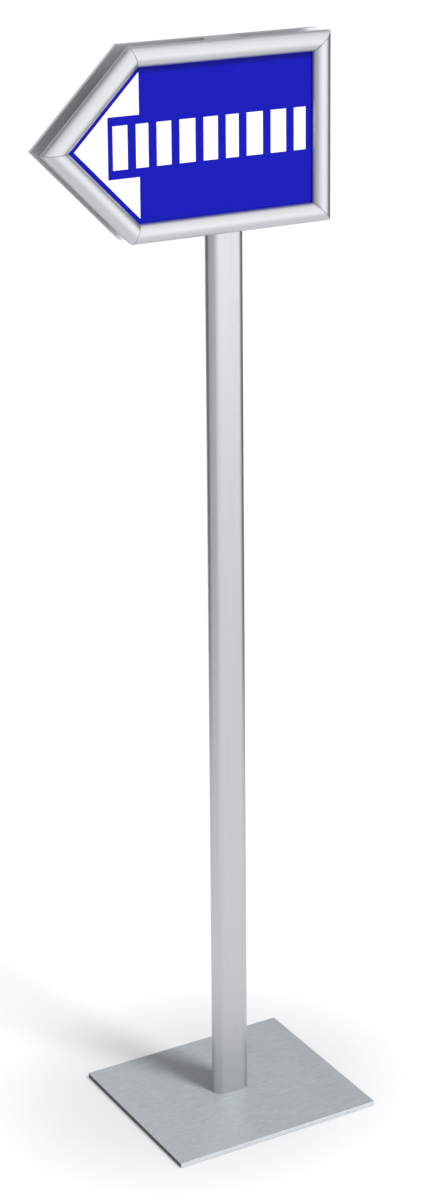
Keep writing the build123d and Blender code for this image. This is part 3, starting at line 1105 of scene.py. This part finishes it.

# %% [markdown]
# ## Floor, light and cards
# The stand is shown on a white floor, in even light from all round and the light of one broad,
# distant lamp at the front right. Satin metal mostly shows what stands round it, so what it mirrors
# is built apart, from pieces that only reflections see. A dome, bright toward the front and dim at
# the back, is the room. Two curved dark cards, at the right and at the back left, give the pole and
# the frames their dark edges, and a grey one at the front left tones down their left sides. A
# bright panel at the front right lights the upper part of the pole and the covers. The floor gives
# a little light of its own, less of it round the base and behind it, which is a painted soft shadow.

# %% Floor and lights
# Azimuths and heights are in degrees: 0 is the front and 90 is the right. The rest is in metres.
FLOOR_SIZE = 120.0
FLOOR_GLOW = 0.66
# The glow taken off round the base and behind it paints a soft shadow on the floor.
PAINTED_FLOOR_SHADOW = 0.20
PAINTED_SHADOW_MIDDLE = (-0.028, 0.034)
PAINTED_SHADOW_SPAN = (0.8, 2.4)
FLOOR_COLOUR = "8C8D8E"
KEY_AZIMUTH = 22.0
KEY_HEIGHT = 50.0
KEY_SPREAD = 15.0
KEY_POWER = 4.0
KEY_DISTANCE = 3.0
FRONT_AZIMUTH = 12.0
FRONT_HEIGHT = 18.0
FRONT_LIGHT = 1.55
BACK_LIGHT = 0.46
ROOM_LIGHT = 0.42
ROOM_SPAN = (-0.1, 1.0)
ROOM_RADIUS = 8.0
ROOM_RINGS = 24
RING_POINTS = 180
CARDS = {
    # name: azimuths, radius, lowest and highest point, light that it gives
    "card_right": ((62, 152), 1.3, (0.01, 2.10), 0.12),
    "card_left": ((196, 246), 1.3, (0.01, 1.71), 0.12),
    "card_grey": ((246, 336), 1.3, (0.01, 1.71), 0.62),
    "panel_front": ((8, 60), 2.0, (0.46, 1.20), 1.72),
}


def floor_material():
    """Matt white floor paper that gives back a little light of its own, as a lit sweep does, less of
    it round the base as a painted shadow.
    """
    material, tree, shader = start_material("matt floor paper", FLOOR_COLOUR, 0.9)
    shader.inputs["Specular IOR Level"].default_value = 0.0
    shader.inputs["Emission Color"].default_value = linear("FFFFFF")
    place = add(tree, "ShaderNodeTexCoord").outputs["Object"]
    reach = (BASE_WIDTH / 2 * MM, BASE_DEPTH / 2 * MM, 1.0)
    spread = add(tree, "ShaderNodeMapping", {"vector_type": "TEXTURE"},
                 {"Location": (*PAINTED_SHADOW_MIDDLE, 0.0), "Scale": reach}, Vector=place)
    away = add(tree, "ShaderNodeVectorMath", {"operation": "LENGTH"}, _0=spread.outputs[0])
    # Less glow near the base and behind it: a painted soft shadow.
    span = {"From Min": PAINTED_SHADOW_SPAN[0], "From Max": PAINTED_SHADOW_SPAN[1],
            "To Min": FLOOR_GLOW - PAINTED_FLOOR_SHADOW, "To Max": FLOOR_GLOW}
    glow = add(tree, "ShaderNodeMapRange", {"interpolation_type": "SMOOTHSTEP"}, span,
               Value=away.outputs["Value"])
    tree.links.new(glow.outputs[0], shader.inputs["Emission Strength"])
    return material


def make_floor():
    """A floor so wide that its edge is never seen."""
    bpy.ops.object.select_all(action="DESELECT")
    bpy.ops.mesh.primitive_plane_add(size=FLOOR_SIZE)
    floor = bpy.context.object
    floor.name = "floor"
    floor.data.materials.append(floor_material())


def toward_light(turn, rise):
    """The direction from the stand to an azimuth and a height, both in degrees."""
    turn, rise = math.radians(turn), math.radians(rise)
    level = math.cos(rise)
    return Vector((math.sin(turn) * level, -math.cos(turn) * level, math.sin(rise)))


def make_key():
    """A broad, distant lamp. Metal mirrors the room and not the lamp, which is left out of gloss."""
    toward = toward_light(KEY_AZIMUTH, KEY_HEIGHT)
    bpy.ops.object.light_add(type="SUN", location=toward * KEY_DISTANCE)
    key = bpy.context.object
    key.name = "key_lamp"
    key.data.energy = KEY_POWER
    key.data.angle = math.radians(KEY_SPREAD)
    key.rotation_euler = toward.to_track_quat("Z", "Y").to_euler()
    key.visible_glossy = False


def azimuth(point):
    """A point's place round the stand, in degrees."""
    return math.degrees(math.atan2(point.co.x, -point.co.y)) % 360


def mirrored_only(stage_piece, cloth, shader):
    """Lights a stage piece in white and lets only gloss see it."""
    shader.inputs["Specular IOR Level"].default_value = 0.0
    shader.inputs["Emission Color"].default_value = linear("FFFFFF")
    stage_piece.data.materials.append(cloth)
    stage_piece.visible_camera = False
    stage_piece.visible_diffuse = False
    stage_piece.visible_shadow = False
    stage_piece.visible_transmission = False


def make_card(name, span, radius, heights, glow):
    """A curved card, cut from a ring and drawn up to its height."""
    bpy.ops.object.select_all(action="DESELECT")
    bpy.ops.mesh.primitive_circle_add(vertices=RING_POINTS, radius=radius,
                                      location=(0, 0, heights[0]))
    card = bpy.context.object
    card.name = name
    bpy.ops.object.mode_set(mode="EDIT")
    choose(card, "VERT", lambda point: not span[0] <= azimuth(point) <= span[1])
    bpy.ops.mesh.delete(type="VERT")
    bpy.ops.mesh.select_all(action="SELECT")
    push(Vector((0, 0, heights[1] - heights[0])))
    bpy.ops.object.mode_set(mode="OBJECT")
    cloth, _, shader = start_material(f"{name} cloth", "000000", 1.0)
    shader.inputs["Emission Strength"].default_value = glow
    mirrored_only(card, cloth, shader)


def make_dome():
    """The room that the metal mirrors: bright toward the front and dim at the back."""
    bpy.ops.object.select_all(action="DESELECT")
    bpy.ops.mesh.primitive_uv_sphere_add(segments=2 * ROOM_RINGS, ring_count=ROOM_RINGS,
                                         radius=ROOM_RADIUS)
    dome = bpy.context.object
    dome.name = "studio_dome"
    cloth, tree, shader = start_material("studio dome cloth", "000000", 1.0)
    place = add(tree, "ShaderNodeTexCoord").outputs["Object"]
    toward = add(tree, "ShaderNodeVectorMath", {"operation": "DOT_PRODUCT"}, _0=place)
    toward.inputs[1].default_value = toward_light(FRONT_AZIMUTH, FRONT_HEIGHT) / ROOM_RADIUS
    level = between(tree, toward.outputs["Value"], BACK_LIGHT, FRONT_LIGHT, *ROOM_SPAN)
    tree.links.new(level, shader.inputs["Emission Strength"])
    mirrored_only(dome, cloth, shader)


def make_world():
    """Even light from all round, and plain white where one looks past the stand."""
    world = bpy.data.worlds.new("studio")
    world.use_nodes = True
    tree = world.node_tree
    seen = add(tree, "ShaderNodeLightPath").outputs["Is Camera Ray"]
    shown = add(tree, "ShaderNodeMix", {"data_type": "FLOAT"}, _0=seen)
    shown.inputs[2].default_value = ROOM_LIGHT
    shown.inputs[3].default_value = 1.0
    tree.nodes["Background"].inputs["Color"].default_value = linear("FFFFFF")
    tree.links.new(shown.outputs[0], tree.nodes["Background"].inputs["Strength"])
    bpy.context.scene.world = world


make_floor()
make_key()
for card_name, card_sizes in CARDS.items():
    make_card(card_name, *card_sizes)
make_dome()
make_world()
bpy.context.scene.view_settings.view_transform = "Standard"
